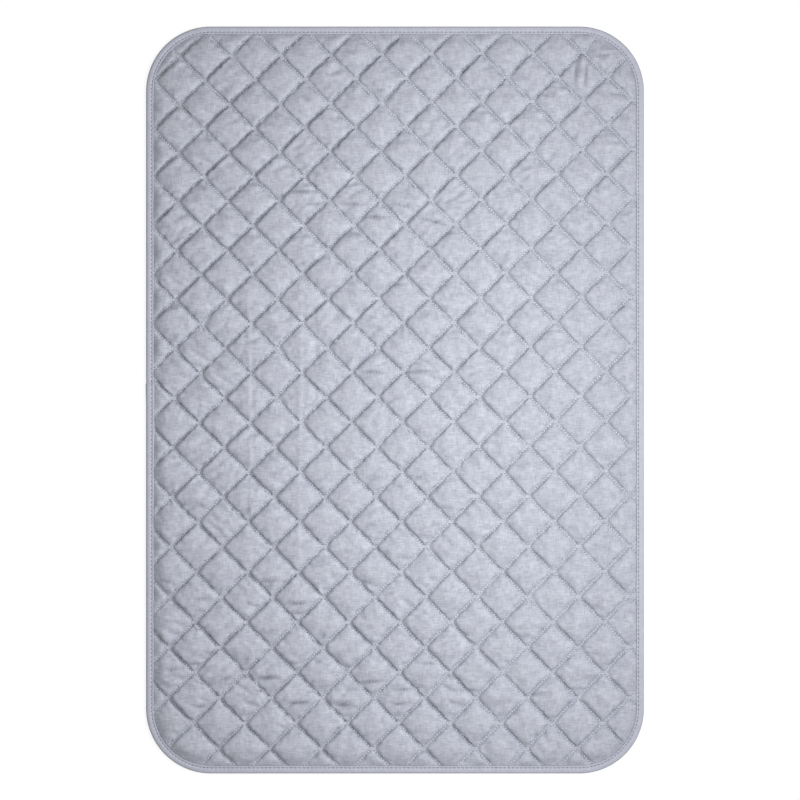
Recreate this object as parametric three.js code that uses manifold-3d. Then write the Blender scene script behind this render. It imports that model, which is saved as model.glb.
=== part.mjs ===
// A quilted ironing pad, lying flat with its ironing face up.
//
// Millimetres, +Z up. The origin is on the table, under the middle of the pad. +X runs across the pad
// and +Y along it, towards the rear edge. Every layer is made in two panels that meet at the fold
// across the middle, where the front half stays on the table and the rear half turns over onto it.
import * as THREE from 'three';
import { mergeVertices } from 'three/addons/utils/BufferGeometryUtils.js';
import Module from 'manifold-3d';

const wasm = await Module();
wasm.setup();

// Outline of the finished pad
const PAD_WIDTH = 500;
const PAD_LENGTH = 750;
const CORNER_RADIUS = 65;
const CORNER_FACETS = 8;

// Cloth layers, and the small space that is left between any two of them
const COVER_THICKNESS = 0.4;
const BACKING_THICKNESS = 0.4;
const BATTING_AT_EDGE = 0.6;
const LAYER_GAP = 0.2;

// Quilting: threads run along the pad in zigzags and turn back to back with their neighbours
const NEEDLE_PITCH = 25.5;
const ROW_PITCH = 24.9;
const TURN_X = 8.4;
const TURN_Y = -21.6;
const CROWN_RISE = 4;
const RIM_RUN = 12;
const EDGE_SQUEEZE = 0.15;

// Sewing thread, modelled as a three-sided strand
const THREAD_WIDTH = 0.8;
const THREAD_HEIGHT = 0.5;
const THREAD_CLEARANCE = 0.5;

// Binding tape, folded round the edge, with its seam near the inner edge
const TAPE_THICKNESS = 0.6;
const TAPE_LEG = 9;
const SEAM_INSET = 1.8;
const BACKING_RAMP = 6;

// Fold across the middle
const FOLD_GAP = 0.4;

// Levels at the edge, counted up from the table
const tapeBottom = THREAD_HEIGHT + LAYER_GAP;
const edgeBacking = tapeBottom + TAPE_THICKNESS + LAYER_GAP;
const edgeBatting = edgeBacking + BACKING_THICKNESS + LAYER_GAP;
const edgeBattingTop = edgeBatting + BATTING_AT_EDGE;
const edgeCover = edgeBattingTop + LAYER_GAP;
const edgeCoverTop = edgeCover + COVER_THICKNESS;
const tapeTopLeg = edgeCoverTop + LAYER_GAP;
const tapeTop = tapeTopLeg + TAPE_THICKNESS;

const stitchLevel = edgeCoverTop + EDGE_SQUEEZE;

// Where the layers' cut edges lie inside the folded tape
const layerInset = TAPE_THICKNESS + LAYER_GAP;

// Room that a cutting block has beyond the shape that it cuts
const cutRoom = TAPE_LEG;

// Two neighbouring strands turn back to back with a neck between their middle lines
const diamondSide = Math.hypot(NEEDLE_PITCH, ROW_PITCH);
const strandHalf = (THREAD_WIDTH / 2) * (diamondSide / ROW_PITCH);
const neckHalf = strandHalf + THREAD_CLEARANCE / 2;

// The strand rides above the stitch line, clear of the crowns where it turns away from that line
const crownSlope = CROWN_RISE / NEEDLE_PITCH;
const strandLift = (neckHalf + strandHalf) * crownSlope + LAYER_GAP;

// Turns a closed geometry into a solid that can be joined and cut
function solid(geometry) {
  const position = geometry.getAttribute('position');
  return new wasm.Manifold(new wasm.Mesh({
    numProp: position.itemSize,
    vertProperties: new Float32Array(position.array),
    triVerts: new Uint32Array(geometry.getIndex().array),
  }));
}

function geometryOf(body) {
  const mesh = body.getMesh();
  const geometry = new THREE.BufferGeometry();
  geometry.setAttribute('position', new THREE.BufferAttribute(mesh.vertProperties, mesh.numProp));
  geometry.setIndex(new THREE.BufferAttribute(mesh.triVerts, 1));
  return geometry;
}

// Welds a list of triangles, each of three points, into one geometry
function facets(triangles) {
  return mergeVertices(new THREE.BufferGeometry().setFromPoints(triangles.flat()));
}

// Skins a row of loops that each have as many points, and closes both ends or runs on into the first
function loft(loops, endless = false) {
  const triangles = [];
  const spans = endless ? loops.length : loops.length - 1;
  for (let span = 0; span < spans; span += 1) {
    const near = loops[span];
    const far = loops[(span + 1) % loops.length];
    near.forEach((point, k) => {
      const next = (k + 1) % near.length;
      triangles.push([point, near[next], far[next]], [point, far[next], far[k]]);
    });
  }
  if (!endless) {
    const first = loops[0];
    const last = loops.at(-1);
    for (let k = 1; k < first.length - 1; k += 1) {
      triangles.push([first[0], first[k + 1], first[k]], [last[0], last[k], last[k + 1]]);
    }
  }
  return facets(triangles);
}

// The pad's outline, drawn in by an inset all round, at one height
function outline(inset, z) {
  const radius = Math.max(CORNER_RADIUS - inset, LAYER_GAP);
  const x = PAD_WIDTH / 2 - inset - radius;
  const y = PAD_LENGTH / 2 - inset - radius;
  const quarter = Math.PI / 2;
  return new THREE.Shape()
    .absarc(x, y, radius, 0, quarter)
    .absarc(-x, y, radius, quarter, 2 * quarter)
    .absarc(-x, -y, radius, 2 * quarter, 3 * quarter)
    .absarc(x, -y, radius, 3 * quarter, 4 * quarter)
    .getPoints(CORNER_FACETS / 2)
    .map((point) => new THREE.Vector3(point.x, point.y, z));
}

// A solid whose edge has the same profile all round: pairs of inset and height, from below to above
function plate(profile, endless = false) {
  return solid(loft(profile.map(([inset, z]) => outline(inset, z)), endless));
}

// Whether a point lies inside the outline drawn in by an inset
function isWithin(inset, x, y) {
  const radius = Math.max(CORNER_RADIUS - inset, LAYER_GAP);
  const pastX = Math.abs(x) - (PAD_WIDTH / 2 - inset - radius);
  const pastY = Math.abs(y) - (PAD_LENGTH / 2 - inset - radius);
  return Math.hypot(Math.max(pastX, 0), Math.max(pastY, 0)) < radius;
}

// A corner of the diamonds, counted along the two directions of the stitch lines
function diamondCorner(a, b, z) {
  return new THREE.Vector3(TURN_X + (a + b) * NEEDLE_PITCH, TURN_Y + (a - b) * ROW_PITCH, z);
}

// A deep block whose upper side is the quilting: diamonds that rise from the stitch lines to a crown
function quiltBlock(lineLevel, floorLevel) {
  const reachX = PAD_WIDTH / 2 + cutRoom + Math.abs(TURN_X);
  const reachY = PAD_LENGTH / 2 + cutRoom + Math.abs(TURN_Y);
  const reach = Math.ceil((reachX / NEEDLE_PITCH + reachY / ROW_PITCH) / 2);
  const triangles = [];
  const floorUnder = (point) => new THREE.Vector3(point.x, point.y, floorLevel);
  const wall = (from, to) => {
    triangles.push([to, from, floorUnder(from)], [to, floorUnder(from), floorUnder(to)]);
  };
  for (let a = -reach; a < reach; a += 1) {
    for (let b = -reach; b < reach; b += 1) {
      const corners = [[a, b], [a, b + 1], [a + 1, b + 1], [a + 1, b]]
        .map(([i, j]) => diamondCorner(i, j, lineLevel));
      const crown = diamondCorner(a + 0.5, b + 0.5, lineLevel + CROWN_RISE);
      corners.forEach((corner, k) => {
        triangles.push([corner, corners[(k + 1) % corners.length], crown]);
      });
      const floor = corners.map(floorUnder);
      triangles.push([floor[0], floor[2], floor[1]], [floor[0], floor[3], floor[2]]);
      if (a === -reach) wall(corners[0], corners[1]);
      if (b === reach - 1) wall(corners[1], corners[2]);
      if (a === reach - 1) wall(corners[2], corners[3]);
      if (b === -reach) wall(corners[3], corners[0]);
    }
  }
  return solid(facets(triangles));
}

// The quilted face of one layer over a plain underside: the edge lies flat under the tape, rises from
// there in a slope, and carries the diamonds inside that slope.
function quiltedPlate(underside, edgeInset, edgeTop) {
  const headroom = 1 + EDGE_SQUEEZE / CROWN_RISE;
  const face = plate([
    ...underside,
    [edgeInset, edgeTop],
    [TAPE_LEG, edgeTop],
    [TAPE_LEG + RIM_RUN * headroom, edgeTop + EDGE_SQUEEZE + CROWN_RISE * headroom],
  ]);
  const floorLevel = underside[0][1] - cutRoom;
  return face.intersect(quiltBlock(edgeTop + EDGE_SQUEEZE, floorLevel));
}

// Top cover: the skin between its quilted upper face and the same face one cloth thickness lower
function topCover() {
  const below = edgeCover - cutRoom;
  const skin = quiltedPlate([[layerInset, below]], layerInset, edgeCoverTop);
  return skin.subtract(quiltedPlate([[-cutRoom, below - cutRoom]], -cutRoom, edgeCover));
}

// Batting: fills the space from the backing to the cover, squeezed thin at the edge
function batting() {
  const underside = [
    [TAPE_LEG + BACKING_RAMP, BACKING_THICKNESS + LAYER_GAP],
    [TAPE_LEG, edgeBatting],
    [layerInset, edgeBatting],
  ];
  return quiltedPlate(underside, layerInset, edgeBattingTop);
}

// Backing: lies flat on the table, and steps up at the edge onto the lower leg of the tape
function backing() {
  return plate([
    [TAPE_LEG + BACKING_RAMP, 0],
    [TAPE_LEG, edgeBacking],
    [layerInset, edgeBacking],
    [layerInset, edgeBacking + BACKING_THICKNESS],
    [TAPE_LEG, edgeBacking + BACKING_THICKNESS],
    [TAPE_LEG + BACKING_RAMP, BACKING_THICKNESS],
  ]);
}

// Edge binding: the tape goes under the layers' edges, round them in a soft nose and back over them
function edgeBinding() {
  return plate([
    [TAPE_LEG, tapeBottom],
    [TAPE_THICKNESS, tapeBottom],
    [0, tapeBottom + TAPE_THICKNESS],
    [0, tapeTop - TAPE_THICKNESS],
    [TAPE_THICKNESS, tapeTop],
    [TAPE_LEG, tapeTop],
    [TAPE_LEG, tapeTopLeg],
    [TAPE_THICKNESS, tapeTopLeg],
    [TAPE_THICKNESS, tapeBottom + TAPE_THICKNESS],
    [TAPE_LEG, tapeBottom + TAPE_THICKNESS],
  ], true);
}

// Seam of the binding: a strand along the tape, apex up or down
function bindingThread(flatSide, apex) {
  const seam = TAPE_LEG - SEAM_INSET;
  const sides = [[seam + THREAD_WIDTH / 2, flatSide], [seam - THREAD_WIDTH / 2, flatSide]];
  return plate(apex > flatSide ? [...sides, [seam, apex]] : [...sides.reverse(), [seam, apex]], true);
}

// Where a quilting thread turns in one row: at its left turns or its right turns, by rows in turn
function turnAt(column, row) {
  const isLeft = (column + row) % 2 === 0;
  const turn = TURN_X + (isLeft ? column : column + 1) * NEEDLE_PITCH;
  return isLeft ? turn + neckHalf : turn - neckHalf;
}

// Stops of one quilting thread, as points of its middle line, outward from the fold to the tape.
// A turn that would lie under the tape is cut short, and the thread follows the tape there.
function threadStops(column, side) {
  const fieldInset = TAPE_LEG + LAYER_GAP + strandHalf;
  const limit = PAD_WIDTH / 2 - fieldInset - LAYER_GAP;
  const climb = (NEEDLE_PITCH - 2 * neckHalf) / ROW_PITCH;
  const rowAt = (y) => (y - TURN_Y) / ROW_PITCH;
  const middleX = (y) => {
    const row = Math.floor(rowAt(y));
    const x = THREE.MathUtils.lerp(turnAt(column, row), turnAt(column, row + 1), rowAt(y) - row);
    return THREE.MathUtils.clamp(x, -limit, limit);
  };
  const start = (side * FOLD_GAP) / 2;
  const heights = [start];
  const rows = Math.ceil(PAD_LENGTH / 2 / ROW_PITCH);
  const firstRow = side > 0 ? Math.ceil(rowAt(start)) : Math.floor(rowAt(start));
  for (let count = 0; count <= rows; count += 1) {
    const row = firstRow + side * count;
    const overrun = Math.max(Math.abs(turnAt(column, row)) - limit, 0) / climb;
    const y = TURN_Y + row * ROW_PITCH;
    heights.push(y - side * overrun);
    if (overrun > 0) heights.push(y + side * overrun);
  }
  const stops = [];
  for (const y of heights.filter((height) => side * height >= side * start)) {
    if (!isWithin(fieldInset, middleX(y), y)) {
      stops.push(lastPointWithin(fieldInset, middleX, stops.at(-1).y, y));
      break;
    }
    stops.push(new THREE.Vector2(middleX(y), y));
  }
  return stops;
}

// The last point of a thread's run that is still inside the field, found by halving the run
function lastPointWithin(inset, middleX, insideY, outsideY) {
  const closeEnough = 0.01;
  let near = insideY;
  let far = outsideY;
  while (Math.abs(far - near) > closeEnough) {
    const half = (near + far) / 2;
    if (isWithin(inset, middleX(half), half)) near = half;
    else far = half;
  }
  return new THREE.Vector2(middleX(near), near);
}

// One quilting thread of one half: a strand lofted through sections that all face along the pad
function quiltingThread(column, side) {
  const flatSide = stitchLevel + strandLift;
  const stops = threadStops(column, side);
  const sections = (side > 0 ? stops : stops.reverse()).map((stop) => [
    new THREE.Vector3(stop.x + strandHalf, stop.y, flatSide),
    new THREE.Vector3(stop.x - strandHalf, stop.y, flatSide),
    new THREE.Vector3(stop.x, stop.y, flatSide + THREAD_HEIGHT),
  ]);
  return loft(sections);
}

// The block that keeps one half of a layer, cut back from the fold
function halfBlock(side) {
  const box = new THREE.BoxGeometry(PAD_WIDTH + cutRoom, PAD_LENGTH, PAD_LENGTH);
  box.translate(0, side * (PAD_LENGTH + FOLD_GAP) / 2, 0);
  box.deleteAttribute('normal');
  box.deleteAttribute('uv');
  return solid(mergeVertices(box));
}

// Cloth and thread finishes
const FINISHES = {
  cover: { color: 0xbfc2cf, roughness: 0.55, metalness: 0.15 },
  batting: { color: 0xeeece6, roughness: 0.95, metalness: 0 },
  backing: { color: 0xd9d9dc, roughness: 0.9, metalness: 0 },
  binding: { color: 0xb6bac8, roughness: 0.7, metalness: 0.05 },
  thread: { color: 0xd5d7df, roughness: 0.6, metalness: 0 },
};

function addPiece(group, name, geometry, finish) {
  const material = new THREE.MeshStandardMaterial({ ...FINISHES[finish], flatShading: true });
  const piece = new THREE.Mesh(geometry, material);
  piece.name = name;
  group.add(piece);
}

const layers = [
  ['cover', topCover(), 'cover'],
  ['batting', batting(), 'batting'],
  ['backing', backing(), 'backing'],
  ['binding', edgeBinding(), 'binding'],
  ['binding_needle_thread', bindingThread(tapeTop + LAYER_GAP, tapeTop + LAYER_GAP + THREAD_HEIGHT), 'thread'],
  ['binding_bobbin_thread', bindingThread(THREAD_HEIGHT, 0), 'thread'],
];

// Every thread whose run lies in the field between the two long sides of the tape
const fieldHalf = PAD_WIDTH / 2 - TAPE_LEG;
const firstColumn = Math.floor((-fieldHalf - TURN_X) / NEEDLE_PITCH);
const lastColumn = Math.floor((fieldHalf - TURN_X) / NEEDLE_PITCH) - 1;

const pad = new THREE.Group();
pad.name = 'ironing_pad';
for (const [half, side] of [['front', -1], ['rear', 1]]) {
  const group = new THREE.Group();
  group.name = `${half}_half`;
  const keep = halfBlock(side);
  for (const [name, whole, finish] of layers) {
    addPiece(group, `${name}_${half}`, geometryOf(whole.intersect(keep)), finish);
  }
  for (let column = firstColumn; column <= lastColumn; column += 1) {
    const number = String(column - firstColumn + 1).padStart(2, '0');
    addPiece(group, `quilting_thread_${number}_${half}`, quiltingThread(column, side), 'thread');
  }
  pad.add(group);
}

export default pad;
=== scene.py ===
# %% [markdown]
# # A quilted ironing pad
#
# The pad is a sandwich of cloth: a silver-grey cotton cover, a layer of wadding and a plain backing.
# Zigzag threads hold the three together in diamonds, and a folded tape is sewn round the edge.
#
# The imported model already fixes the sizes, the places and the one fold across the middle. It is loaded
# first and never changed. Everything after that dresses it in soft cloth, in the same frame, so a
# millimetre here is a millimetre there. Sizes are written in millimetres, unless a comment says metres.

# %% The fixed frame
import math

import bpy
import numpy as np
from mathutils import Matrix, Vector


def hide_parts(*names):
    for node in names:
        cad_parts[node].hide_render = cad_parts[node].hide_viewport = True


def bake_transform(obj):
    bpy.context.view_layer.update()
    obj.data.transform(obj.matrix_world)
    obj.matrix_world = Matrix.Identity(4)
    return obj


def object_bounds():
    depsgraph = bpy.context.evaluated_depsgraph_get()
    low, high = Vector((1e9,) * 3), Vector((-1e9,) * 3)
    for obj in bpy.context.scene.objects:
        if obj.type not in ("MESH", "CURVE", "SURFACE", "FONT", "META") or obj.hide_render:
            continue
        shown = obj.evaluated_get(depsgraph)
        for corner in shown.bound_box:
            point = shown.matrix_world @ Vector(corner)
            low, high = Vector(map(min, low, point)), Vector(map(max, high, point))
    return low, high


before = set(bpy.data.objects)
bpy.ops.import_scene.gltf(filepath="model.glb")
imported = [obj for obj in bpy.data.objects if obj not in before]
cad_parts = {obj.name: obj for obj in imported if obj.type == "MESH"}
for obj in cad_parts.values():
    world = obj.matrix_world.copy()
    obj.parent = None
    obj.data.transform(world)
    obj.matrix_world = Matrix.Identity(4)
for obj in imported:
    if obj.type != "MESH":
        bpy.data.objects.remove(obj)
cad_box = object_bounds()
MM = 0.001
HALF_WIDTH = cad_box[1].x / MM
HALF_LENGTH = cad_box[1].y / MM
print("pad", round(2 * HALF_WIDTH), "by", round(2 * HALF_LENGTH), "mm,", len(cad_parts), "CAD nodes")

# %% [markdown]
# ## Five small helpers
#
# Colours are written as sRGB hex codes, as a colour picker shows them, while Blender's sockets hold
# linear values, so one function turns one into the other. Another adds a node, sets its options and
# fills its inputs, and a third starts an empty material.
#
# The last two make a mesh from arrays of points and faces, and give it maps, which are pairs of numbers
# kept at its points for a material to read. Every mesh has a map of the cloth as it lay flat, in metres,
# so that a weave follows the cloth wherever it bends.

# %% Helpers
FLAT_CLOTH, LATTICE, CREASE_SHADE_MAP = "flat_cloth", "lattice", "cracks"


def linear(code):
    srgb = [int(code[i:i + 2], 16) / 255 for i in (1, 3, 5)]
    return (*[c / 12.92 if c <= 0.04045 else ((c + 0.055) / 1.055) ** 2.4 for c in srgb], 1.0)


def add(tree, kind, inputs, **options):
    node = tree.nodes.new(kind)
    for name, value in options.items():
        setattr(node, name, value)
    for name, value in inputs.items():
        if isinstance(value, bpy.types.NodeSocket):
            tree.links.new(value, node.inputs[name])
        else:
            node.inputs[name].default_value = value
    return node


def new_finish(name):
    material = bpy.data.materials.new(name)
    material.use_nodes = True
    material.node_tree.nodes.clear()
    return material


def add_map(mesh, name, values):
    corners = np.empty(len(mesh.loops), int)
    mesh.loops.foreach_get("vertex_index", corners)
    layer = mesh.uv_layers.new(name=name)
    layer.uv.foreach_set("vector", values[corners].ravel())


def make_piece(name, points, faces, flat, material):
    mesh = bpy.data.meshes.new(name)
    mesh.from_pydata((points * MM).tolist(), [], faces.tolist())
    add_map(mesh, FLAT_CLOTH, flat * MM)
    mesh.polygons.foreach_set("use_smooth", np.ones(len(mesh.polygons), bool))
    mesh.materials.append(material)
    mesh.validate()
    piece = bpy.data.objects.new(name, mesh)
    bpy.context.scene.collection.objects.link(piece)
    return piece


print("white is", linear("#FFFFFF")[:3])

# %% [markdown]
# ## Where a point lies on the pad
#
# The outline is a rectangle with round corners. Two questions come up again and again: how far inside
# the outline a point lies, and where a point is that lies a certain length along the edge. The first
# decides what is hidden under the tape, and the second carries the tape round the pad.

# %% Outline
CORNER_RADIUS = 65.0
NUDGE = 0.01
straight = np.array([HALF_WIDTH, HALF_LENGTH]) - CORNER_RADIUS


def inset(x, y):
    past = np.abs(np.stack([x, y], -1)) - straight
    beyond = np.linalg.norm(np.maximum(past, 0), axis=-1)
    return CORNER_RADIUS - beyond - np.minimum(past.max(-1), 0)


def at_inset(places, wanted):
    """Moves places straight in or out until they lie at an inset."""
    for _ in range(3):
        x, y = places.T
        slope_x = inset(x + NUDGE, y) - inset(x - NUDGE, y)
        slope_y = inset(x, y + NUDGE) - inset(x, y - NUDGE)
        way = np.stack([slope_x, slope_y], -1) / np.hypot(slope_x, slope_y)[:, None]
        places = places + way * (wanted - inset(x, y))[:, None]
    return places


quarter = np.radians(np.arange(91))
ring, inward = [[-HALF_WIDTH, 0.0]], [[1.0, 0.0]]
for turn, corner in enumerate([(-1, 1), (1, 1), (1, -1), (-1, -1)]):
    angle = math.pi * (1 - turn / 2) - quarter
    out = np.stack([np.cos(angle), np.sin(angle)], -1)
    ring.extend((straight * corner + CORNER_RADIUS * out).tolist())
    inward.extend((-out).tolist())
ring, inward = np.array(ring + ring[:1]), np.array(inward + inward[:1])
ring_length = np.concatenate([[0], np.cumsum(np.linalg.norm(np.diff(ring, axis=0), axis=1))])
PERIMETER = ring_length[-1]


def edge_point(length, depth):
    at = np.mod(length, PERIMETER)
    place = [np.interp(at, ring_length, ring[:, i]) for i in (0, 1)]
    way = np.stack([np.interp(at, ring_length, inward[:, i]) for i in (0, 1)], -1)
    way /= np.linalg.norm(way, axis=-1, keepdims=True)
    return np.stack(place, -1) + way * np.asarray(depth)[..., None]


print("edge is", round(PERIMETER), "mm round")

# %% [markdown]
# ## The lattice of the quilting
#
# A quilting machine sews all threads at once, with its needles about an inch apart. Each thread zigzags
# along the pad and turns back to back with its neighbours, and that draws the diamonds. A rounded
# triangle wave draws one thread: the arc sine of a cosine is a plain zigzag, and a cosine kept just
# under 1 rounds the turns and leaves the neck between two threads that turn back to back.
#
# Counted in columns and rows the lattice is regular. The cloth creeps a little under the needles, so on
# the pad the columns lean and the rows bow by a few millimetres, which a handful of values describe.

# %% Lattice
NEEDLE_PITCH, ROW_PITCH = 25.5, 24.9
TURN_X, TURN_Y = 6.7, -22.0
COLUMN_LEAN, COLUMN_FAN = 4.5, 2.5
ROW_LEAN, ROW_BOW, ROW_FAN = 1.2, 5.0, 1.5
TURN_ROUNDNESS = 0.98
DIAMOND_SIDE = math.hypot(NEEDLE_PITCH, ROW_PITCH)


def on_pad(column, row):
    x = TURN_X + NEEDLE_PITCH * column
    y = TURN_Y + ROW_PITCH * row
    u, v = x / HALF_WIDTH, y / HALF_LENGTH
    creep_x = COLUMN_LEAN * v - COLUMN_FAN * u * v
    creep_y = ROW_LEAN * u - ROW_BOW * v * v + ROW_FAN * u * v
    return x + creep_x, y + creep_y


def thread_column(number, row):
    swing = np.arcsin(TURN_ROUNDNESS * np.cos(math.pi * (row + number))) / math.pi
    return number + 0.5 - swing


print("a diamond's side is", round(DIAMOND_SIDE, 1), "mm")

# %% [markdown]
# ## A grid along the stitches
#
# The cloths share one grid of points, which runs along the two directions of the stitches, so that a
# seam is always a row of points. A count along each direction is whole on a seam. The first rows beside
# a seam are drawn in close to it, because the cloth bends most there. How far each point lies from the
# nearest thread is worked out here too, since the channels and puckers of the cover depend on it.

# %% Grid
STEPS = 24
ROWS_BY_SEAM = (0.0, 0.7, 1.15, 1.5, 1.9, 3.2)
FIRST_A, LAST_A, FIRST_B, LAST_B = -13, 13, -14, 13


def drawn_in(count):
    """Moves evenly spaced places towards the whole counts, where the seams are."""
    off = count - np.round(count)
    rows = (*range(len(ROWS_BY_SEAM)), STEPS / 2)
    near = np.interp(np.abs(off) * STEPS, rows, (*ROWS_BY_SEAM, DIAMOND_SIDE / 2)) / DIAMOND_SIDE
    return np.round(count) + np.sign(off) * near


index_a, index_b = np.meshgrid(
    np.arange((LAST_A - FIRST_A) * STEPS + 1), np.arange((LAST_B - FIRST_B) * STEPS + 1), indexing="ij"
)
along_a, along_b = FIRST_A + drawn_in(index_a / STEPS), FIRST_B + drawn_in(index_b / STEPS)
column, row = along_a + along_b, along_a - along_b
grid_x, grid_y = on_pad(column, row)
grid_inset = inset(grid_x, grid_y)
nearby = [thread_column(np.floor(column) + k, row) for k in (-1, 0, 1)]
off_thread = np.min([np.abs(column - thread) for thread in nearby], axis=0)
off_thread *= NEEDLE_PITCH * math.sqrt(0.5)
print("grid of", index_a.shape, "points,", int((grid_inset > 0).sum()), "of them on the pad")

# %% [markdown]
# ## Puffed diamonds from a cloth simulation
#
# A diamond of the cover is sewn down on all four sides, and the wadding pushes it up from below. It
# could be sculpted as a dome, but then the small gathers along the stitches and the creases across the
# middle would be missing, and they are what makes quilting look sewn.
#
# Because the stitches hold every side, no diamond can pull on the next. So Blender's Cloth is run on a
# swatch of a few dozen diamonds, and these are laid out over the pad afterwards, turned and mirrored.
# The swatch starts as cloth that is a few percent too long, and lies almost flat.

# %% Swatch
SWATCH_A, SWATCH_B = 8, 6
SWATCH_SEED = 7
SPARE_X, SPARE_Y = 1.020, 1.036
UNEVEN_X, UNEVEN_Y = 0.05, 0.34
FIRST_DOME, FIRST_RUMPLE, RUMPLE_PASSES = 1.5, 0.6, 8


def swatch_shapes():
    """The swatch as it is cut and as it is sewn, its seams, and a dome over each diamond."""
    rng = np.random.default_rng(SWATCH_SEED)
    step_a, step_b = np.meshgrid(
        np.arange(SWATCH_A * STEPS + 1), np.arange(SWATCH_B * STEPS + 1), indexing="ij"
    )
    a, b = np.minimum(step_a // STEPS, SWATCH_A - 1), np.minimum(step_b // STEPS, SWATCH_B - 1)
    s, t = step_a / STEPS - a, step_b / STEPS - b
    sewn_x, sewn_y = NEEDLE_PITCH * (step_a + step_b) / STEPS, ROW_PITCH * (step_a - step_b) / STEPS
    sewn = np.stack([sewn_x, sewn_y, 0.0 * step_a], -1)
    seam = (step_a % STEPS == 0) | (step_b % STEPS == 0)

    corner_a, corner_b = np.meshgrid(np.arange(SWATCH_A + 1), np.arange(SWATCH_B + 1), indexing="ij")
    corner_x = NEEDLE_PITCH * SPARE_X * (corner_a + corner_b)
    corner_y = ROW_PITCH * SPARE_Y * (corner_a - corner_b)
    corner = np.stack([corner_x, corner_y], -1)
    corner += rng.normal(0, 1, corner.shape) * [UNEVEN_X, UNEVEN_Y]
    near = corner[a, b] * (1 - t)[..., None] + corner[a, b + 1] * t[..., None]
    far = corner[a + 1, b] * (1 - t)[..., None] + corner[a + 1, b + 1] * t[..., None]
    dome = np.sin(math.pi * s) * np.sin(math.pi * t)
    rumple = rng.normal(0, 1, step_a.shape)
    for _ in range(RUMPLE_PASSES):
        rumple[1:-1, 1:-1] = (rumple[1:-1, 1:-1] + rumple[:-2, 1:-1] + rumple[2:, 1:-1]
                              + rumple[1:-1, :-2] + rumple[1:-1, 2:]) / 5
    cut = near * (1 - s)[..., None] + far * s[..., None]
    cut = np.concatenate([cut, (dome * (FIRST_DOME + FIRST_RUMPLE * rumple))[..., None]], -1)
    return cut, sewn, seam, dome


cut, sewn, seam, dome = swatch_shapes()
print("swatch of", SWATCH_A * SWATCH_B, "diamonds,", seam.size, "points,", int(seam.sum()), "on the seams")

# %% [markdown]
# ## Sewing the swatch
#
# A shape key draws the seams together, as the sewing does, and the pinned seams follow it. Gravity
# turned upside down stands for the wadding. The solver is at its best with cushions of about a metre, so
# the swatch is twenty times life size.

# %% Simulation
DRAWN_BY_FRAME, LAST_FRAME = 13, 15
SWATCH_SCALE = 20 * MM
PLAIN_CROWN = 3.4


def quads_of(rows, columns):
    first = (np.arange(rows - 1)[:, None] * columns + np.arange(columns - 1)).ravel()
    return np.stack([first, first + columns, first + columns + 1, first + 1], -1)


def puff_up(cut, sewn, seam):
    mesh = bpy.data.meshes.new("swatch")
    mesh.from_pydata((cut.reshape(-1, 3) * SWATCH_SCALE).tolist(), [], quads_of(*seam.shape).tolist())
    swatch = bpy.data.objects.new("swatch", mesh)
    scene = bpy.context.scene
    scene.collection.objects.link(swatch)
    pins = swatch.vertex_groups.new(name="stitches")
    pins.add(np.flatnonzero(seam).tolist(), 1.0, "REPLACE")
    swatch.shape_key_add(name="cut")
    key = swatch.shape_key_add(name="sewn")
    key.data.foreach_set("co", (sewn * SWATCH_SCALE).ravel())
    for frame_number, value in ((1, 0.0), (DRAWN_BY_FRAME, 1.0)):
        key.value = value
        key.keyframe_insert("value", frame=frame_number)

    cloth = swatch.modifiers.new("Cloth", "CLOTH")
    cloth.settings.quality = 6
    cloth.settings.mass = 0.05
    cloth.settings.air_damping = 2
    cloth.settings.tension_stiffness = cloth.settings.compression_stiffness = 40
    cloth.settings.shear_stiffness = 10
    cloth.settings.bending_stiffness = 0.6
    cloth.settings.vertex_group_mass = pins.name
    cloth.settings.pin_stiffness = 50
    cloth.collision_settings.use_collision = False
    down = scene.gravity.copy()
    scene.gravity = -down
    for frame_number in range(1, LAST_FRAME + 1):
        scene.frame_set(frame_number)
    result = swatch.evaluated_get(bpy.context.evaluated_depsgraph_get())
    puffed = np.empty(sewn.size)
    result.data.vertices.foreach_get("co", puffed)
    scene.gravity = down
    scene.frame_set(1)
    bpy.data.objects.remove(swatch)
    bpy.data.meshes.remove(mesh)
    return puffed.reshape(sewn.shape) / SWATCH_SCALE


puffed = puff_up(cut, sewn, seam)
moved = puffed - sewn
swatch_diamonds = np.array([
    moved[a * STEPS:(a + 1) * STEPS + 1, b * STEPS:(b + 1) * STEPS + 1]
    for a in range(SWATCH_A) for b in range(SWATCH_B)
])
crowns = swatch_diamonds[..., 2].max((1, 2))
print(len(swatch_diamonds), "diamonds, crowns", crowns.min().round(1), "to", crowns.max().round(1), "mm")

# %% [markdown]
# ## Laying the diamonds out
#
# Some diamonds came out smooth and some creased. Measured by how rough they are, they can be put in
# order, and then the creased ones go where the real pad is creased most: in bands across it, more on
# the left than on the right. A seeded random choice, and mirroring, keep any two places from looking
# alike. What is rough about a diamond is then doubled, because a broad soft light hides small creases.

# %% Layout
CREASED_PLACES = [
    # x, y, reach across, reach along, strength
    (-30, 200, 110, 14, 0.9),
    (0, 28, 50, 14, 0.6),
    (0, -290, 240, 16, 0.8),
    (-200, 0, 90, 300, 0.3),
]
LAYOUT_SEED = 3
MOST_BY_CHANCE, TOP_RANK = 0.85, 0.999
FLATTEN_PASSES = 6
CREASE_GAIN = 2.0

flatter = swatch_diamonds[..., 2].copy()
for _ in range(FLATTEN_PASSES):
    flatter[:, 1:-1, 1:-1] = (flatter[:, :-2, 1:-1] + flatter[:, 2:, 1:-1]
                              + flatter[:, 1:-1, :-2] + flatter[:, 1:-1, 2:]) / 4
small_creases = swatch_diamonds[..., 2] - flatter
roughness_order = np.argsort(np.abs(small_creases).mean((1, 2)))

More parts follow.
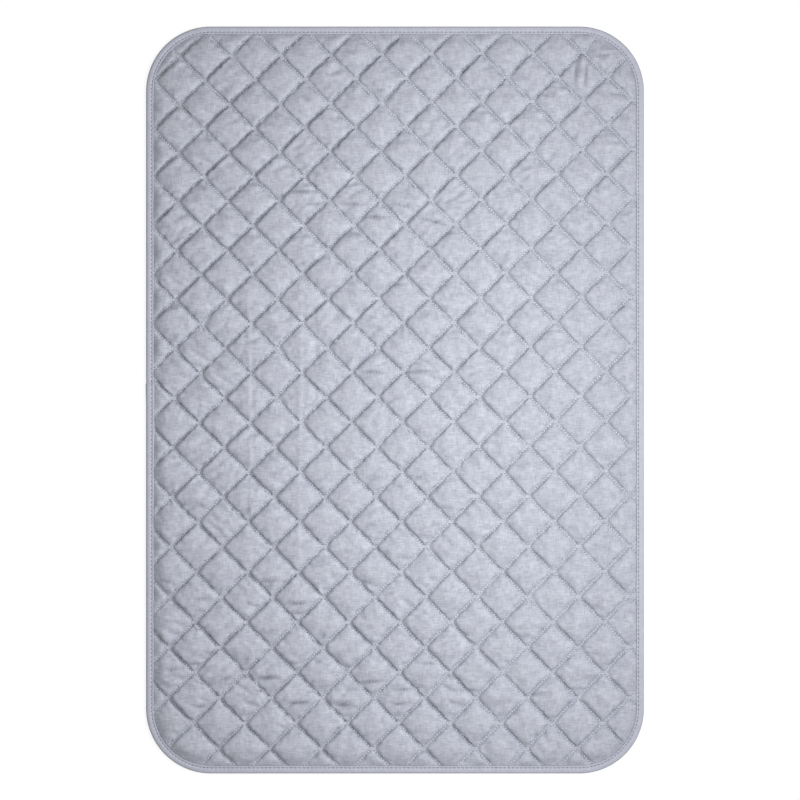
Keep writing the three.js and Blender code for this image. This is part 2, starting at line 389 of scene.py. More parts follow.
rng = np.random.default_rng(LAYOUT_SEED)
cells = (LAST_A - FIRST_A, LAST_B - FIRST_B)
cell_a, cell_b = np.meshgrid(np.arange(cells[0]) + FIRST_A, np.arange(cells[1]) + FIRST_B, indexing="ij")
cell_x, cell_y = on_pad(cell_a + cell_b + 1.0, cell_a - cell_b + 0.0)
how_rough = rng.uniform(0, MOST_BY_CHANCE, cells)
for x, y, reach_x, reach_y, strength in CREASED_PLACES:
    how_rough += strength * np.exp(-((cell_x - x) / reach_x) ** 2 - ((cell_y - y) / reach_y) ** 2)
rank = (np.clip(how_rough, 0, TOP_RANK) * len(swatch_diamonds)).astype(int)
chosen = roughness_order[rank]
mirror_x, mirror_y = rng.random(cells) < 0.5, rng.random(cells) < 0.5


def laid_out(mirror_x, mirror_y):
    """How each point of the grid moves when its diamond puffs up."""
    a, b = np.minimum(index_a // STEPS, cells[0] - 1), np.minimum(index_b // STEPS, cells[1] - 1)
    s, t = index_a - a * STEPS, index_b - b * STEPS
    turn_x, turn_y = mirror_x[a, b], mirror_y[a, b]
    s, t = np.where(turn_x, STEPS - t, s), np.where(turn_x, STEPS - s, t)
    s, t = np.where(turn_y, t, s), np.where(turn_y, s, t)
    shift = swatch_diamonds[chosen[a, b], s, t]
    shift[..., 2] += (CREASE_GAIN - 1) * small_creases[chosen[a, b], s, t]
    return shift * np.stack([1 - 2 * turn_x, 1 - 2 * turn_y, np.ones_like(a)], -1)


print(int((inset(cell_x, cell_y) > 0).sum()), "diamonds have their middle on the pad")

# %% [markdown]
# ## Painted shade at the needle holes and in the creases
#
# The cover has an aluminium coat that throws the iron's heat back, and two kinds of painted shade go into
# its colour. At each needle hole, where the thread dives in, the shadow in the hole is painted as a dark
# point in the seam. A hole is narrower than a pixel of the render, so its painted shadow is drawn a little
# larger than the hole is. Along a sharp crease, a thin darker line is painted for the shade in the fold.
#
# The holes follow the lattice, which the cover keeps as a map: a count that is whole on a seam, so a
# ping-pong of it is the distance from the seam, in diamond sides. The painted crease shade has a map of its
# own.

# %% Painted shade in holes and creases
STITCHES_PER_SIDE = 12
# Painted shade: the colour of a needle hole's shadow, and of the shade in a sharp crease
NEEDLE_HOLE_SHADE, CREASE_SHADE = "#868994", "#80838F"
HOLE_SHADE_UNEVEN, CREASE_SHADE_UNEVEN = (0.3, 0.6), (0.25, 0.6)
# Where the painted hole shade is gone and where it is full: off a seam and off a turn in sides, off a hole
# in stitches
OFF_SEAM, OFF_TURN, OFF_HOLE = (0.024, 0.012), (0.04, 0.06), (0.3, 0.18)


def with_painted_hole_shade(tree, colour, uneven):
    """Paints the shadow in the needle holes into a colour, along the lattice's whole counts."""
    spot = add(tree, "ShaderNodeUVMap", {}, uv_map=LATTICE).outputs["UV"]
    split = add(tree, "ShaderNodeSeparateXYZ", {"Vector": spot}).outputs
    for across, along in (("X", "Y"), ("Y", "X")):
        off_seam = add(tree, "ShaderNodeMath", {0: split[across], 1: 0.5}, operation="PINGPONG")
        off_turn = add(tree, "ShaderNodeMath", {0: split[along], 1: 0.5}, operation="PINGPONG")
        stitches = add(tree, "ShaderNodeMath", {0: split[along], 1: STITCHES_PER_SIDE}, operation="MULTIPLY")
        off_hole = add(tree, "ShaderNodeMath", {0: stitches.outputs[0], 1: 0.5}, operation="PINGPONG")
        gone, full = HOLE_SHADE_UNEVEN
        hole = add(tree, "ShaderNodeMapRange", {"Value": uneven, "From Min": gone, "From Max": full})
        for off, (gone, full) in ((off_seam, OFF_SEAM), (off_turn, OFF_TURN), (off_hole, OFF_HOLE)):
            inside = add(tree, "ShaderNodeMapRange", {"Value": off.outputs[0], "From Min": gone,
                                                      "From Max": full})
            hole = add(tree, "ShaderNodeMath", {0: inside.outputs[0], 1: hole.outputs[0]},
                       operation="MULTIPLY")
        colour = add(tree, "ShaderNodeMix", {"Factor": hole.outputs[0], 6: colour, 7: linear(NEEDLE_HOLE_SHADE)},
                     data_type="RGBA").outputs[2]
    return colour


def with_painted_crease_shade(tree, colour, uneven):
    """Paints the shade of a sharp crease into a colour."""
    spot = add(tree, "ShaderNodeUVMap", {}, uv_map=CREASE_SHADE_MAP).outputs["UV"]
    crease_dark = add(tree, "ShaderNodeSeparateXYZ", {"Vector": spot}).outputs["X"]
    gone, full = CREASE_SHADE_UNEVEN
    patchy = add(tree, "ShaderNodeMapRange", {"Value": uneven, "From Min": gone, "From Max": full}).outputs[0]
    share = add(tree, "ShaderNodeMath", {0: crease_dark, 1: patchy}, operation="MULTIPLY").outputs[0]
    return add(tree, "ShaderNodeMix", {"Factor": share, 6: colour, 7: linear(CREASE_SHADE)},
               data_type="RGBA").outputs[2]


print(STITCHES_PER_SIDE, "needle holes to a diamond's side")

# %% [markdown]
# ## Silver-coated cotton
#
# The cover is plain-woven cotton under that coat. It gives a soft blue-grey that is nearly matt, a little
# brighter where it turns to the light and never mirror bright. Its yarns are about 0.4 mm apart, finer
# than a pixel of the render, so the weave is drawn twice as coarse to show at all. The coat lies
# unevenly, which gives faint clouds from some millimetres to a centimetre wide, and thicker yarns show
# as short streaks, stronger across the pad than along it.
#
# The tape and the backing are woven too, so one function makes all three from their own values.

# %% Woven cloth
YARN, WEAVE_SHARE = 0.8, 0.25
CLOUD, GRAIN = 10.0, 4.5
SLUB_LENGTH, SLUB_WIDTH = 9.0, 0.9
ACROSS_SHARE, SLUB_SHARE = 1.4, 0.9
SHADE_MIDDLE, COLOUR_REACH, ROUGH_REACH = 2.08, 0.4, 0.5
ROUGH_SPREAD = 0.06


def woven_cloth(name, light, dark, roughness, shine, sheen, relief, quilted=False):
    material = new_finish(name)
    tree = material.node_tree
    flat = add(tree, "ShaderNodeUVMap", {}, uv_map=FLAT_CLOTH).outputs["UV"]
    clouds = add(tree, "ShaderNodeTexNoise", {"Vector": flat, "Scale": 1 / (CLOUD * MM), "Detail": 3.0})
    grain = add(tree, "ShaderNodeTexNoise", {"Vector": flat, "Scale": 1 / (GRAIN * MM), "Detail": 3.0,
                                             "Roughness": 0.7}).outputs[0]
    slubs = []
    for size_x, size_y in ((SLUB_LENGTH, SLUB_WIDTH), (SLUB_WIDTH, SLUB_LENGTH)):
        stretch = (1 / (size_x * MM), 1 / (size_y * MM), 1)
        drawn = add(tree, "ShaderNodeMapping", {"Vector": flat, "Scale": stretch})
        slubs.append(add(tree, "ShaderNodeTexNoise", {"Vector": drawn.outputs[0], "Scale": 1.0}).outputs[0])
    yarns = add(tree, "ShaderNodeMath", {0: slubs[0], 1: ACROSS_SHARE, 2: slubs[1]},
                operation="MULTIPLY_ADD").outputs[0]

    shade = add(tree, "ShaderNodeMath", {0: clouds.outputs[0], 1: grain}, operation="ADD").outputs[0]
    shade = add(tree, "ShaderNodeMath", {0: yarns, 1: SLUB_SHARE, 2: shade},
                operation="MULTIPLY_ADD").outputs[0]
    share = add(tree, "ShaderNodeMapRange", {"Value": shade, "From Min": SHADE_MIDDLE - COLOUR_REACH,
                                             "From Max": SHADE_MIDDLE + COLOUR_REACH}).outputs[0]
    colour = add(tree, "ShaderNodeMix", {"Factor": share, 6: linear(dark), 7: linear(light)},
                 data_type="RGBA").outputs[2]
    if quilted:
        # Painted shade at the needle holes and along sharp creases
        colour = with_painted_hole_shade(tree, colour, grain)
        colour = with_painted_crease_shade(tree, colour, grain)
    rough = add(tree, "ShaderNodeMapRange", {
        "Value": shade, "From Min": SHADE_MIDDLE - ROUGH_REACH, "From Max": SHADE_MIDDLE + ROUGH_REACH,
        "To Min": roughness + ROUGH_SPREAD, "To Max": roughness - ROUGH_SPREAD,
    }).outputs[0]

    split = add(tree, "ShaderNodeSeparateXYZ", {"Vector": flat})
    over = []
    for way in ("X", "Y"):
        turns = add(tree, "ShaderNodeMath", {0: split.outputs[way], 1: math.pi / (YARN * MM)},
                    operation="MULTIPLY")
        over.append(add(tree, "ShaderNodeMath", {0: turns.outputs[0]}, operation="SINE").outputs[0])
    weave = add(tree, "ShaderNodeMath", {0: over[0], 1: over[1]}, operation="MULTIPLY").outputs[0]
    height = add(tree, "ShaderNodeMath", {0: weave, 1: WEAVE_SHARE, 2: yarns},
                 operation="MULTIPLY_ADD").outputs[0]
    bump = add(tree, "ShaderNodeBump", {"Height": height, "Strength": 0.5, "Distance": relief * MM})

    cloth = add(tree, "ShaderNodeBsdfPrincipled", {
        "Base Color": colour, "Roughness": rough, "Specular IOR Level": shine,
        "Sheen Weight": sheen, "Sheen Roughness": 0.4, "Normal": bump.outputs[0],
    })
    add(tree, "ShaderNodeOutputMaterial", {"Surface": cloth.outputs[0]})
    return material


silver_cotton = woven_cloth("silver_coated_cotton", "#CFD2DD", "#ABAEBB", roughness=0.75, shine=0.2,
                            sheen=0.1, relief=0.25, quilted=True)
print("made", silver_cotton.name, "with", len(silver_cotton.node_tree.nodes), "nodes")

# %% [markdown]
# ## What the stitches do to the cover
#
# The simulated diamonds give the cover its puff. What the thread does to the cloth is finer than the
# swatch can show, so it is added to the grid's points: a narrow channel along each thread with ragged
# walls, a crevice where the cloth tucks in at the foot of a wall, puckers beside it that fade out over
# a few millimetres, and a deeper dip at each needle hole. Towards the tape the diamonds can't rise.

# %% Channels and puckers
TAPE_LEG = 7.3
RIM_START, RIM_RUN = TAPE_LEG + 1.2, 11.0
CHANNEL_HALF, CHANNEL_WALL, RAGGED = 1.4, 0.7, 0.32
CREVICE_DEPTH, CREVICE_HALF = 0.38, 0.45
TUCK_SPREAD, LEAST_TUCK, MOST_TUCK = 0.5, 0.4, 1.6
PUCKER, PUCKER_REACH = 0.5, 3.0
QUILT_STITCH = DIAMOND_SIDE / STITCHES_PER_SIDE


def smooth(t):
    t = np.clip(t, 0, 1)
    return t * t * (3 - 2 * t)


seam_run = np.where(index_a % STEPS == 0, along_b, along_a) * DIAMOND_SIDE
on_seam = (index_a % STEPS == 0) | (index_b % STEPS == 0)
at_hole = on_seam * np.cos(math.pi * seam_run / QUILT_STITCH) ** 4
let_rise = 1 - (1 - np.clip((grid_inset - RIM_START) / RIM_RUN, 0, 1)) ** 2
gather = rng.normal(0, 1, grid_x.shape)
from_wall = off_thread - CHANNEL_HALF + RAGGED * gather
free = smooth(from_wall / CHANNEL_WALL)
pucker = PUCKER * rng.normal(0, 1, grid_x.shape) * np.exp(-off_thread / PUCKER_REACH)
tuck = np.clip(1 + TUCK_SPREAD * rng.normal(0, 1, grid_x.shape), LEAST_TUCK, MOST_TUCK)
crevice = CREVICE_DEPTH * tuck * np.exp(-(from_wall / CREVICE_HALF) ** 2)
print("puckers up to", np.abs(pucker).max().round(2), "mm, stitches of", round(QUILT_STITCH, 2), "mm")

# %% [markdown]
# ## The larger creases
#
# A pad that has lain folded and pressed keeps creases that no single diamond explains: here two long
# soft ones along it, bands of short sharp ones across it, and a pinched fold near a corner. Each is a
# given straight line, with a ridge or, below zero, a valley. The cloth may also stand higher on one side of
# the line than on the other. Along a valley, shade is painted into the colour, most at the line's middle.

# %% Creases
CREASES = [
    # from x, y, to x, y, ridge, fall to the left
    (-146, 100, -143, -120, 0.2, 1.2),
    (-93, 115, -95, -155, 0.2, 1.2),
    (-107, 209, -81, 209, -1.4, 2.6),
    (-89, 196, -67, 198, -1.4, 2.6),
    (-56, 197, -31, 196, -1.4, 2.6),
    (-4, 198, 22, 192, -1.4, 2.6),
    (-34, 184, -5, 183, -1.2, 2.0),
    (-47, 167, -32, 166, -1.2, 2.0),
    (22, 184, 56, 174, -1.4, 2.6),
    (47, 166, 62, 168, -1.2, 2.0),
    (-8, 115, 12, 116, -1.2, 2.0),
    (-36, 29, -8, 27, -1.6, 0.6),
    (5, 28, 40, 29, -1.6, 0.6),
    (-236, -180, -223, -183, -1.2, -2.0),
    (-201, -200, -186, -199, -1.4, -2.4),
    (-136, -182, -115, -180, -1.4, -2.4),
    (-106, -204, -88, -203, -1.4, -2.4),
    (-36, -181, -22, -184, -1.2, -2.0),
    (-229, -272, -215, -268, -1.4, -2.4),
    (-176, -280, -163, -278, -1.4, -2.4),
    (-199, -307, -187, -306, -1.4, -2.4),
    (-107, -304, -85, -303, -1.4, -2.4),
    (-59, -306, -43, -306, -1.4, -2.4),
    (-5, -305, 13, -304, -1.4, -2.4),
    (-38, -284, -8, -281, -1.2, -2.0),
    (-138, -279, -118, -278, -1.4, -2.4),
    (-112, -263, -92, -264, -1.0, -2.0),
    (-56, -267, -36, -268, -1.4, -2.4),
    (-50, -290, -34, -291, -1.0, -2.0),
    (26, -265, 42, -264, -1.4, -2.4),
    (-2, -291, 18, -290, -1.4, -2.4),
    (60, -292, 84, -290, -1.0, -2.0),
    (130, -296, 156, -294, -1.0, -2.0),
    (180, 312, 183, 342, -1.4, 0.0),
    (185, 312, 188, 346, 1.6, 0.0),
    (190, 312, 193, 340, -1.4, 0.0),
    (188, 346, 222, 352, 1.6, 0.0),
    (192, 343, 222, 348, -1.2, 0.0),
]
CREASE_HALF = 2.0
# The painted crease shade: how wide it is, and how strong for each millimetre of a valley's depth
CREASE_SHADE_HALF, CREASE_SHADE_PER_DEPTH = 1.2, 0.8

creased, crease_shading = np.zeros(grid_x.shape), np.zeros(grid_x.shape)
for x, y, to_x, to_y, ridge, fall in CREASES:
    way = np.array([to_x - x, to_y - y])
    share = np.clip(((grid_x - x) * way[0] + (grid_y - y) * way[1]) / (way @ way), 0, 1)
    off_x, off_y = grid_x - x - share * way[0], grid_y - y - share * way[1]
    to_left = (off_y * way[0] - off_x * way[1]) / np.linalg.norm(way)
    off_squared = off_x ** 2 + off_y ** 2
    creased += (ridge - fall * to_left / CREASE_HALF) * np.exp(-off_squared / CREASE_HALF ** 2)
    crease_dark = CREASE_SHADE_PER_DEPTH * max(-ridge, 0) * np.sin(math.pi * share)
    crease_shading = np.maximum(crease_shading, crease_dark * np.exp(-off_squared / CREASE_SHADE_HALF ** 2))
print(len(CREASES), "creases, from", creased.min().round(1), "to", creased.max().round(1), "mm")

# %% [markdown]
# ## The cover
#
# All of this comes together in one sheet. The simulated crowns are made rounder and a little fuller, as
# the real wadding is firm. The puff, puckers and creases count where the cloth is free, and the channel
# and the crevices where the thread holds it. The last millimetres lie flat between the tape's two legs.
# The grid runs along the stitches and not along the outline, so its rim is moved out to a clean cut.

# %% Cover
STITCH_LEVEL, UNDER_TAPE = 3.45, 2.25
PUFF, ROUNDNESS = 1.38, 1.65
CHANNEL_DEPTH, HOLE_DEPTH = 0.28, 0.4
PRESS_START, PRESS_RUN = TAPE_LEG + 0.9, 1.6
CUT_INSET = 1.6
COVER_KEEP = CUT_INSET + 1


def panel(keep_inset, stride):
    """The grid's quads that lie inside an inset, and the points that they use."""
    pick = np.arange(index_a.size).reshape(index_a.shape)[::stride, ::stride]
    quads = np.stack([pick[:-1, :-1], pick[1:, :-1], pick[1:, 1:], pick[:-1, 1:]], -1).reshape(-1, 4)
    quads = quads[(grid_inset.ravel()[quads] > keep_inset).all(1)]
    used, faces = np.unique(quads, return_inverse=True)
    return used, faces.reshape(-1, 4)[:, ::-1]


def rim_of(faces):
    """The edges that only one face has, each in the direction of its face."""
    edges = np.stack([faces, np.roll(faces, -1, 1)], -1).reshape(-1, 2)
    _, first, count = np.unique(np.sort(edges, 1), axis=0, return_index=True, return_counts=True)
    return edges[first[count == 1]]


def trimmed(points, faces, cut_inset):
    """Moves the rim's points out to a clean cut along the outline."""
    rim = np.unique(rim_of(faces))
    points[rim, :2] = at_inset(points[rim, :2], cut_inset)
    return points


def at_points(used, *values):
    """Values of the whole grid, side by side, for the points that are used."""
    return np.stack(values, -1).reshape(-1, len(values))[used]


shift = laid_out(mirror_x, mirror_y)
cover_x, cover_y = grid_x + shift[..., 0] * let_rise, grid_y + shift[..., 1] * let_rise
rounder = PLAIN_CROWN * (np.maximum(shift[..., 2], 0) / PLAIN_CROWN) ** ROUNDNESS
cover_z = (STITCH_LEVEL + (PUFF * rounder + pucker + creased) * let_rise * free
           - (CHANNEL_DEPTH + crevice) * (1 - free) - HOLE_DEPTH * at_hole)
pressed = smooth((PRESS_START - grid_inset) / PRESS_RUN)
cover_z = cover_z * (1 - pressed) + UNDER_TAPE * pressed
used, faces = panel(COVER_KEEP, stride=1)
points = trimmed(at_points(used, cover_x, cover_y, cover_z), faces, CUT_INSET)
cover = make_piece("cover", points, faces, at_points(used, grid_x, grid_y), silver_cotton)
add_map(cover.data, LATTICE, at_points(used, along_a, along_b))
# The painted crease shade is kept as a map, where the cloth is free
add_map(cover.data, CREASE_SHADE_MAP, at_points(used, crease_shading * free, crease_shading * free))
print("cover has", len(faces), "faces and rises to", points[:, 2].max().round(2), "mm")

# %% [markdown]
# ## The backing
#
# Underneath, the stitches pull the backing up between the diamonds, and the wadding presses it flat on
# the table inside them. That is the same cloth shape as above, turned over and much shallower, so the
# simulated diamonds serve again with another mirroring, and a soft floor at the table's level.

# %% Backing
BACKING_PULL, BACKING_FALL, BACKING_DIMPLE = 1.0, 0.34, 0.2
TABLE_FIRMNESS = 8
BACKING_UNDER_TAPE, BACKING_RUN = 1.6, 6.0
BACKING_KEEP = CUT_INSET + 1.5

plain_cotton = woven_cloth("plain_cotton_backing", "#DADADD", "#CDCDD1", roughness=0.9, shine=0.2,
                           sheen=0.15, relief=0.25)
below = laid_out(~mirror_x, mirror_y)[..., 2]
hang = BACKING_PULL - BACKING_FALL * below + BACKING_DIMPLE * at_hole
backing_z = np.logaddexp(0, TABLE_FIRMNESS * hang) / TABLE_FIRMNESS
pressed = smooth((TAPE_LEG + BACKING_RUN - grid_inset) / BACKING_RUN)
backing_z = backing_z * (1 - pressed) + BACKING_UNDER_TAPE * pressed
used, faces = panel(BACKING_KEEP, stride=2)
points = trimmed(at_points(used, grid_x, grid_y, backing_z), faces, CUT_INSET)
backing = make_piece("backing", points, faces[:, ::-1], at_points(used, grid_x, grid_y), plain_cotton)
print("backing lies from", points[:, 2].min().round(2), "to", points[:, 2].max().round(2), "mm")

# %% [markdown]
# ## The wadding
#
# Between the two cloths lies needled polyester wadding, deepest under the crowns and crushed to almost
# nothing along the stitches and under the tape. It never shows, but without it the pad would be two
# skins round nothing, so it is a closed body of its own that stays clear of both. A coarser grid is
# enough for it. Where the cloths come too close, it is squeezed to a thin layer midway between them.
#
# Its finish is a tangle of pale, matt fibres, 1.5 mm from tuft to tuft.

# %% Wadding
CLEAR_OF_COVER, CLEAR_OF_BACKING, LEAST_CLEAR = 0.8, 0.45, 0.3
UPPER_AT_EDGE, LOWER_AT_EDGE = 1.95, 1.8
SQUEEZE_START, SQUEEZE_RUN = TAPE_LEG + 16, 12
HALF_LAYER = 0.03
DIP_PASSES = 3
WADDING_KEEP = CUT_INSET + 2
TUFT = 1.5

wadding_finish = new_finish("needled_polyester_wadding")
tree = wadding_finish.node_tree
spot = add(tree, "ShaderNodeUVMap", {}, uv_map=FLAT_CLOTH).outputs["UV"]
fibres = add(tree, "ShaderNodeTexNoise", {"Vector": spot, "Scale": 1 / (TUFT * MM), "Detail": 6.0,
                                          "Distortion": 2.0}).outputs[0]
tint = add(tree, "ShaderNodeMix", {"Factor": fibres, 6: linear("#E4E1DA"), 7: linear("#F4F2EE")},
           data_type="RGBA").outputs[2]
fluff = add(tree, "ShaderNodeBump", {"Height": fibres, "Strength": 0.6, "Distance": 0.4 * MM})
soft = add(tree, "ShaderNodeBsdfPrincipled", {"Base Color": tint, "Roughness": 0.95, "Sheen Weight": 0.3,
                                              "Normal": fluff.outputs[0]})
add(tree, "ShaderNodeOutputMaterial", {"Surface": soft.outputs[0]})

lowest = cover_z.copy()
for _ in range(DIP_PASSES):
    lowest[1:-1, 1:-1] = np.min([lowest[1:-1, 1:-1], lowest[:-2, 1:-1], lowest[2:, 1:-1],
                                 lowest[1:-1, :-2], lowest[1:-1, 2:]], axis=0)
used, faces = panel(WADDING_KEEP, stride=2)
levels = ((lowest - CLEAR_OF_COVER, UPPER_AT_EDGE), (backing_z + CLEAR_OF_BACKING, LOWER_AT_EDGE))
sides = []
for level, at_edge in levels:
    side = trimmed(at_points(used, grid_x, grid_y, level), faces, CUT_INSET)
    squeezed = smooth((SQUEEZE_START - inset(side[:, 0], side[:, 1])) / SQUEEZE_RUN)
    side[:, 2] += (at_edge - side[:, 2]) * squeezed
    sides.append(side)
upper, lower = sides
under_cover, over_backing = lowest.ravel()[used], backing_z.ravel()[used]
midway = (under_cover + over_backing) / 2
upper[:, 2] = np.maximum(np.minimum(upper[:, 2], under_cover - LEAST_CLEAR), midway + HALF_LAYER)
lower[:, 2] = np.minimum(lower[:, 2], upper[:, 2] - 2 * HALF_LAYER)
points = np.concatenate([upper, lower])
rim = rim_of(faces)
walls = np.concatenate([rim + len(used), rim[:, ::-1]], 1)
faces = np.concatenate([faces, faces[:, ::-1] + len(used), walls])
batting = make_piece("batting", points, faces, points[:, :2], wadding_finish)
print("wadding has", len(faces), "faces")

# %% [markdown]
# ## The tape's section
#
# The edge is bound with a strip of the same cloth, folded over the layers' cut edges and sewn through.
# Its section is a U about half a millimetre thick. It is drawn by its middle line, as depths in from the
# edge and levels above the table: the lower leg, a round nose, and the upper leg, which the seam pulls
# down in a shallow groove.

# %% Section of the tape
TAPE_HALF = 0.3
NOSE_DEEP, NOSE_HIGH, EDGE_MIDDLE = 2.2, 1.45, 2.4
SEAM_DEPTH = 5.7
LOWER_LEG, GROOVE_LEVEL = 1.0, 3.74

nose = np.radians(np.linspace(-90, 90, 7))
middle_line = np.array(
    [(TAPE_LEG, LOWER_LEG), (6.4, LOWER_LEG), (SEAM_DEPTH, 1.02), (4.0, LOWER_LEG)]
    + [(TAPE_HALF + NOSE_DEEP * (1 - math.cos(t)), EDGE_MIDDLE + NOSE_HIGH * math.sin(t)) for t in nose]
    + [(3.7, 3.95), (5.0, 3.92), (5.35, 3.84), (SEAM_DEPTH, GROOVE_LEVEL), (6.05, 3.83), (6.4, 3.9)]
    + [(TAPE_LEG, 3.98)]
)
tangent = np.gradient(middle_line, axis=0)
tangent /= np.linalg.norm(tangent, axis=1, keepdims=True)
outward = np.stack([-tangent[:, 1], tangent[:, 0]], -1)
section = np.concatenate([
    middle_line + TAPE_HALF * outward, middle_line[-1:] + TAPE_HALF * tangent[-1:],
    (middle_line - TAPE_HALF * outward)[::-1], middle_line[:1] - TAPE_HALF * tangent[:1],
])
lift_way = np.concatenate([outward, [[0, 0]], outward[::-1], [[0, 0]]])
girth = np.concatenate([[0], np.cumsum(np.linalg.norm(np.diff(section, axis=0), axis=1))])

# %% [markdown]
# ## How the tape lies
#
# The tape is one strip. It starts on the left side, comes round, and its end laps over the start, which
# is the small step that the left edge shows. The seam makes a dimple at each hole, and no hand keeps the
# edge quite straight, so a few slow waves move it.

# %% Lap and waves
STITCH = PERIMETER / round(PERIMETER / 4.2)
POINTS_PER_STITCH = 4
LAP_START, LAP_END, LAP_RUN = 10.5, 17.0, 14.0
LAP_LIFT, LAP_SINK = 0.36, 0.3
LIFT_BEFORE, SINK_AFTER = 6, 1
LEVEL_WAVE, LEVEL_WAVES, LEVEL_SEED = 0.1, (61, 83, 127, 171), 5
EDGE_WAVE, EDGE_WAVES, EDGE_SEED = 0.4, (23, 31, 47, 71), 4
WIDER_AT_END, WIDER_BEFORE, WIDER_RUN = 0.8, 90, 60
WAVY_FROM, WAVY_RUN = 4, 3
PIT_DEPTH, PIT_HALF, INNER_PIT = 0.8, 0.6, 0.7


def slow_waves(length, waves, seed):
    phase = np.random.default_rng(seed).uniform(0, 2 * math.pi, len(waves))
    return sum(np.sin(2 * math.pi * n * length / PERIMETER + p) for n, p in zip(waves, phase)) / len(waves)


def lap(length):
    """How far the tape is lifted over its own start, or sunk under its own end."""
    over = LAP_LIFT * smooth((length - PERIMETER + LIFT_BEFORE) / LAP_RUN)
    under = LAP_SINK * (1 - smooth((length - LAP_START - SINK_AFTER) / LAP_RUN))
    return over - under


def tape_level(length):
    """How the upper leg waves."""
    return LEVEL_WAVE * slow_waves(length, LEVEL_WAVES, LEVEL_SEED)


tape_length = np.arange(LAP_START, PERIMETER + LAP_END, STITCH / POINTS_PER_STITCH)
print("tape of", round(tape_length[-1] - tape_length[0]), "mm, lapped over", LAP_END - LAP_START, "mm")

# %% [markdown]
# ## The binding
#
# A curve with a bevel could sweep the section, but the lap, the waves and the dimples all change it on
# the way. So the section is placed at each step round the outline, and skinned with quads.

# %% Binding
pit = PIT_DEPTH * np.cos(math.pi * tape_length / STITCH) ** 4
wider = (EDGE_WAVE * slow_waves(tape_length, EDGE_WAVES, EDGE_SEED)
         + WIDER_AT_END * smooth((tape_length - PERIMETER + WIDER_BEFORE) / WIDER_RUN))
depth, level = section[:, 0], section[:, 1]
is_upper = smooth((level - EDGE_MIDDLE) / NOSE_HIGH)
pulled = np.repeat([1, INNER_PIT], len(outward) + 1)
swept_depth = (depth + wider[:, None] * np.clip((depth - WAVY_FROM) / WAVY_RUN, 0, 1)
               + lap(tape_length)[:, None] * lift_way[:, 0])
at_seam = np.exp(-((swept_depth - SEAM_DEPTH) / PIT_HALF) ** 2)
swept_level = (level + lap(tape_length)[:, None] * lift_way[:, 1]
               + is_upper * (tape_level(tape_length)[:, None] - pit[:, None] * at_seam * pulled))
swept = edge_point(np.repeat(tape_length[:, None], len(section), 1), swept_depth)
points = np.concatenate([swept, swept_level[..., None]], -1).reshape(-1, 3)

loop = len(section)
around = np.arange(loop)
start = (np.arange(len(tape_length) - 1) * loop)[:, None]
following = np.roll(around, -1)
skin = np.stack([start + around, start + following, start + following + loop, start + around + loop], -1)
k = np.arange(len(middle_line) - 1)
end_cap = np.stack([k, k + 1, loop - k - 3, loop - k - 2], -1)
last = (len(tape_length) - 1) * loop
faces = np.concatenate([skin.reshape(-1, 4), end_cap[:, ::-1], end_cap + last])
flat = np.stack([np.repeat(tape_length[:, None], loop, 1), np.repeat(girth[None], len(tape_length), 0)], -1)
cotton_tape = woven_cloth("cotton_binding_tape", "#CBCDDA", "#BDBFCE", roughness=0.75, shine=0.2,
                          sheen=0.15, relief=0.2)
binding = make_piece("binding", points, faces, flat.reshape(-1, 2), cotton_tape)
print("binding has", len(faces), "faces")

# %% [markdown]
# ## Polyester thread
#
# Polyester thread is spun from two plies. Their twist shows as fine slanting stripes, and the fibre
# gives a little sheen. The quilting is sewn in a silver thread that hardly stands out from the cover, and
# the binding in a grey painted darker for the shade in its needle pits, so one function makes two finishes.

# %% Sewing thread
PLY_TWIST, PLY_RELIEF = 1.1, 0.08


def spun_thread(name, light, dark):
    material = new_finish(name)
    tree = material.node_tree
    spot = add(tree, "ShaderNodeUVMap", {}, uv_map=FLAT_CLOTH).outputs["UV"]
    split = add(tree, "ShaderNodeSeparateXYZ", {"Vector": spot})
    slant = add(tree, "ShaderNodeMath", {0: split.outputs["X"], 1: split.outputs["Y"]}, operation="ADD")
    turns = add(tree, "ShaderNodeMath", {0: slant.outputs[0], 1: 2 * math.pi / (PLY_TWIST * MM)},
                operation="MULTIPLY")
    plies = add(tree, "ShaderNodeMath", {0: turns.outputs[0]}, operation="SINE").outputs[0]
    share = add(tree, "ShaderNodeMapRange", {"Value": plies, "From Min": -1.0, "From Max": 1.0}).outputs[0]
    tint = add(tree, "ShaderNodeMix", {"Factor": share, 6: linear(dark), 7: linear(light)},
               data_type="RGBA").outputs[2]
    ridge = add(tree, "ShaderNodeBump", {"Height": share, "Strength": 0.4, "Distance": PLY_RELIEF * MM})
    spun = add(tree, "ShaderNodeBsdfPrincipled", {"Base Color": tint, "Roughness": 0.5, "Sheen Weight": 0.2,
                                                  "Normal": ridge.outputs[0]})
    add(tree, "ShaderNodeOutputMaterial", {"Surface": spun.outputs[0]})
    return material


silver_thread = spun_thread("silver_polyester_thread", "#E8EAF2", "#D2D4DE")
# Painted shade: the binding thread's grey is darker, for the shade in the seam's needle pits
pit_shaded_thread = spun_thread("grey_thread_painted_pit_shade", "#888B96", "#747782")
print("made", silver_thread.name, "and", pit_shaded_thread.name)

# %% [markdown]
# ## Stitches
#
# A lockstitch is two threads. The needle thread lies on the upper face and dives into a hole at each
# stitch, where the bobbin thread of the underside catches it. So a row of stitches is a row of dashes.
# Curves with a bevel could draw a thread, but the dashes need a path that dips at every hole, so each
# thread is a thin tube of its own, flattened where it lies on the cloth, and one unbroken piece.

# %% Stitches
THREAD_WIDTH, THREAD_HEIGHT = 0.7, 0.4
THREAD_RISE, THREAD_DIVE = 0.25, 0.95
THREAD_SIDES = 6
THREAD_RADIUS = 0.3


def stitch_height(phase):
    return THREAD_RISE - (THREAD_RISE + THREAD_DIVE) * (2 * phase - 1) ** 2


